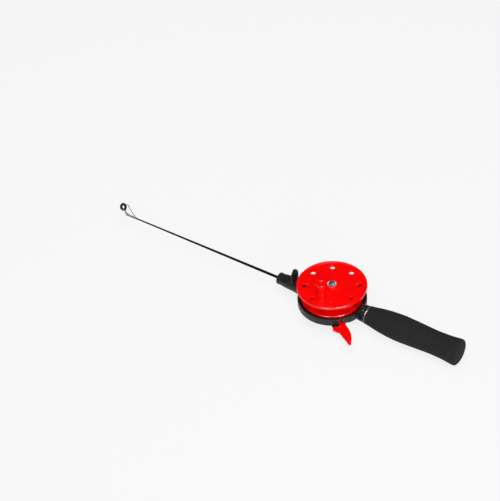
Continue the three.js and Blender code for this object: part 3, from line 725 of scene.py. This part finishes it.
def trigger_pin():
    low, top = PIN_LOW.z, PIN_HIGH.z
    r, head = 1.1, 1.7
    profile = [(0, low), (r, low, 0.2), (r, top - 0.75), (head, top - 0.75, 0.15), (head, top - 0.3, 0.4),
               (0, top)]
    return moved(lathe(rounded(profile), 40), PIVOT.x, PIVOT.y)


def brake_pad():
    bm = plate([(25.95, -2.4), (27.1, -2.4), (27.1, 2.4), (25.95, 2.4), (25.8, 1.2), (25.8, -1.2)],
               PAD_LOW.z, PAD_HIGH.z, 0.2)
    bm.transform(Matrix.Rotation(math.radians(POST_DEG), 4, "Z"))
    return bm


def return_spring():
    middle = spline([(21.9, -22.8), (19.8, -20.9), (16, -19), (12.4, -18), (9.6, -17.9), (7.6, -19),
                     (7.1, -20.9), (8.3, -22.6), (11, -24.2), (13.4, -26.2), (15.4, -28.7)], 6)
    half = 0.2
    left, right = [], []
    for i, (x, y) in enumerate(middle):
        a, b = middle[max(i - 1, 0)], middle[min(i + 1, len(middle) - 1)]
        across = Vector((a[1] - b[1], b[0] - a[0])).normalized() * half
        left.append((x + across.x, y + across.y))
        right.append((x - across.x, y - across.y))
    return plate(left + right[::-1], SPRING_LOW.z, SPRING_HIGH.z, 0.05)


piece("trigger", trigger(), "trigger", RED, ["trigger_lever"])
piece("pivot", trigger_pin(), "frame", RED, ["trigger_pin"])
piece("pad", brake_pad(), "trigger", FELT, ["brake_pad"])
leaf = piece("leaf", return_spring(), None, STEEL, ["return_spring"])
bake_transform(leaf)


# ---- grip ----
CORE_R = 5.8
COLLAR_R = 9.6


def foam_grip():
    front, end = GRIP_LOW.x, GRIP_HIGH.x
    surface = spline([(9.7, front + 0.6), (10.3, 48.5), (11.7, 57), (12.85, 67), (13.5, 79.5),
                      (13.35, 88), (12.9, 100), (12.35, 112), (12.2, 120.5), (12.55, 132), (13.3, 140),
                      (13.6, 142.6)], 8)
    butt = rounded([surface[-1], (13.75, 146.2, 3.0), (10.4, end - 0.5, 2.0), (5, end - 0.1, 3), (0, end)],
                   steps=8)
    return along_x(lathe([(CORE_R, front + 3), (CORE_R, front), (9.2, front)] + surface + butt[1:], 128))


def grip_collar():
    low, high = COLLAR_LOW.x, COLLAR_HIGH.x
    section = rounded([(CORE_R, low), (COLLAR_R, low, 0.35), (COLLAR_R, high, 0.35), (CORE_R, high)],
                      closed=True)
    return along_x(lathe(section, 96, closed=True))


grip = piece("grip", foam_grip(), "frame", FOAM, ["foam_grip"])
piece("collar", grip_collar(), "frame", LIGHT_GREY, ["grip_collar"])


# ---- blank and tip-top ----
BLANK_TIP_R = 0.7
BLANK_TAPER = 0.81
BLANK_BUTT_R = 1.55
BLANK_STEPS = 24
IN_SOCKET = 8
TUBE_START = -260.8
FOOT_R = 0.45
FOOT_SPREAD = 2.4
RING_R = 2.98
RING_WIRE_R = 1.38
RING_LEAN_DEG = 29
RING_CENTRE = (RING_LOW + RING_HIGH) / 2
BRACE_WIRE_R = 0.42


def rod_blank():
    start, length = BLANK_LOW.x, NOSE_X - BLANK_LOW.x
    profile = [(0, start), (BLANK_TIP_R - 0.02, start)]
    profile += [(BLANK_TIP_R + BLANK_TAPER * k / BLANK_STEPS, start + length * k / BLANK_STEPS)
                for k in range(1, BLANK_STEPS + 1)]
    profile += [(BLANK_BUTT_R, NOSE_X + IN_SOCKET), (0, NOSE_X + IN_SOCKET)]
    return along_x(lathe(profile, 32))


def tip_tube():
    start, end, r, bore = TUBE_START, TUBE_HIGH.x, TUBE_HIGH.y, 0.93
    barrel = along_x(lathe(rounded([
        (0, start - 0.05), (0.6, start, 0.3), (r, start + 0.8, 0.5), (r, end, 0.2),
        (bore, end), (bore, end - 2),
    ]), 32))
    path = [(start + 1.2, 0, ROD_Z), (start - 0.2, 0, ROD_Z + 0.7), (start - 0.7, 0, ROD_Z + 2.6),
            (start - 0.8, 0, ROD_Z + 5.3)]
    foot = tube(spline(path), FOOT_R, 14)
    foot.transform(Matrix.Diagonal((1, FOOT_SPREAD, 1, 1)))
    return merged(barrel, foot)


def tip_ring():
    bm = lathe(ring_of(RING_WIRE_R, 24, (RING_R, 0)), 64, closed=True)
    lean = math.radians(RING_LEAN_DEG)
    bm.transform(Matrix.Translation(RING_CENTRE) @ Matrix.Rotation(math.pi / 2 - lean, 4, "Y"))
    return bm


def tip_wire():
    x, z = RING_CENTRE.x, RING_CENTRE.z

    def leg(s):
        """The points of one leg, s being the side, from the ring to the tube."""
        return [(x + 0.3, s * 3.9, z + 0.1), (x + 2.9, s * 4.6, z + 0.5), (x + 5, s * 3.65, z - 1.2),
                (x + 10.6, s * 2.1, ROD_Z + 2.8), (x + 13.3, s * 1.4, ROD_Z + 1.5)]

    return tube(spline([*leg(1), (x + 14.4, 0, ROD_Z + 1.9), *leg(-1)[::-1]], 8), BRACE_WIRE_R, 14)


piece("blank", rod_blank(), "frame", BLANK, ["rod_blank"])
piece("tip_socket", tip_tube(), "frame", GREY, ["tip_tube"])
piece("tip_eye", tip_ring(), "frame", RING, ["tip_ring"])
piece("tip_brace", tip_wire(), "frame", GREY, ["tip_wire"])


# ---- floor, light and camera ----
FLOOR_GAP = 0.00005
FLOOR_HALF = 6
FLOOR_ALBEDO = 0.1
FLOOR_GLOW = 0.84
SKY_LOOK = 0.82
SKY_LIGHT = 0.06
REEL_AIM = (0, 0, 0.03)
ROD_AIM = (-0.06, 0, 0)
GLOSSY = ["flange", "drum", "knob", "trigger", "collar"]


def floor():
    bm = bmesh.new()
    bmesh.ops.create_grid(bm, x_segments=1, y_segments=1, size=FLOOR_HALF)
    bm.transform(Matrix.Translation((0, 0, -FLOOR_GAP)))
    obj = new_object("floor", new_mesh("floor", bm))
    s = Shader("floor", (FLOOR_ALBEDO,) * 3, 1.0, Specular_IOR_Level=0.0, Emission_Color=(1, 1, 1, 1),
               Emission_Strength=FLOOR_GLOW)
    s.color(s.ramp(s.noise(3, 2), FLOOR_ALBEDO - 0.001, FLOOR_ALBEDO + 0.001))
    obj.data.materials.append(s.material)


def sky():
    """As pale as the floor to the camera, so the floor's edge hardly shows, but weak as a light."""
    world = bpy.data.worlds.new("world")
    world.use_nodes = True
    background = world.node_tree.nodes["Background"]
    background.inputs["Color"].default_value = (1, 1, 1, 1)
    rays = world.node_tree.nodes.new("ShaderNodeLightPath")
    strength = world.node_tree.nodes.new("ShaderNodeMath")
    strength.operation = "MULTIPLY_ADD"
    world.node_tree.links.new(rays.outputs["Is Camera Ray"], strength.inputs[0])
    strength.inputs[1].default_value = SKY_LOOK
    strength.inputs[2].default_value = SKY_LIGHT
    world.node_tree.links.new(strength.outputs[0], background.inputs["Strength"])
    bpy.context.scene.world = world


def direction(azimuth, elevation):
    """The unit vector towards a light or camera, from what it aims at."""
    a, e = math.radians(azimuth), math.radians(elevation)
    return Vector((math.sin(a) * math.cos(e), -math.cos(a) * math.cos(e), math.sin(e)))


def softbox(name, azimuth, elevation, distance, size, power, aim, mirrored=True, only=()):
    """A rectangular light. With only=, it makes nothing but highlights, on the pieces named."""
    light = bpy.data.lights.new(name, "AREA")
    light.shape = "RECTANGLE"
    light.size, light.size_y = size
    light.energy = power
    obj = new_object(name, light)
    back = direction(azimuth, elevation)
    obj.location = Vector(aim) + back * distance
    obj.rotation_euler = back.to_track_quat("Z", "Y").to_euler()
    obj.visible_glossy = mirrored
    if only:
        obj.visible_diffuse = False
        lit = bpy.data.collections.new(name)
        for piece_name in only:
            lit.objects.link(bpy.data.objects[piece_name])
        obj.light_linking.receiver_collection = lit


CAMERA_AZIMUTH = 37.012
CAMERA_ELEVATION = 40.778
CAMERA_ROLL = -3.846
CAMERA_DISTANCE = 2.0
CAMERA_LENS = 139.54
CAMERA_AIM = Vector((-0.106352, 0.009385, 0.024966))


def camera():
    data = bpy.data.cameras.new("camera")
    data.lens = CAMERA_LENS
    data.clip_end = 20
    obj = new_object("camera", data)
    back = direction(CAMERA_AZIMUTH, CAMERA_ELEVATION)
    a = math.radians(CAMERA_AZIMUTH)
    right = Vector((math.cos(a), math.sin(a), 0))
    up = back.cross(right)
    r = math.radians(CAMERA_ROLL)
    right, up = right * math.cos(r) + up * math.sin(r), up * math.cos(r) - right * math.sin(r)
    turn = Matrix((right, up, back)).transposed().to_4x4()
    obj.matrix_world = Matrix.Translation(CAMERA_AIM + back * CAMERA_DISTANCE) @ turn
    bpy.context.scene.camera = obj


floor()
camera()
softbox("overhead", 0, 89, 1.6, (1.5, 1.5), 23, ROD_AIM, mirrored=False)
softbox("right", 66, 45, 1.2, (0.32, 0.3), 2.0, REEL_AIM)
softbox("left", 11, 45, 1.2, (0.28, 0.3), 1.6, REEL_AIM)
softbox("fill", 52, 12, 1.5, (1.0, 0.5), 9, REEL_AIM, mirrored=False)
softbox("right_gloss", 62, 48, 1.2, (0.45, 0.35), 300, REEL_AIM, only=GLOSSY)
softbox("left_gloss", 11, 48, 1.2, (0.25, 0.35), 190, REEL_AIM, only=GLOSSY)
softbox("screw_gloss", 130, 55, 1.2, (0.5, 0.4), 2.5, REEL_AIM, only=["screw"])
softbox("washer_gloss", 207, 44, 1.2, (0.8, 0.7), 2.6, REEL_AIM, only=["screw_washer"])
sky()
bpy.context.scene.view_settings.view_transform = "Standard"
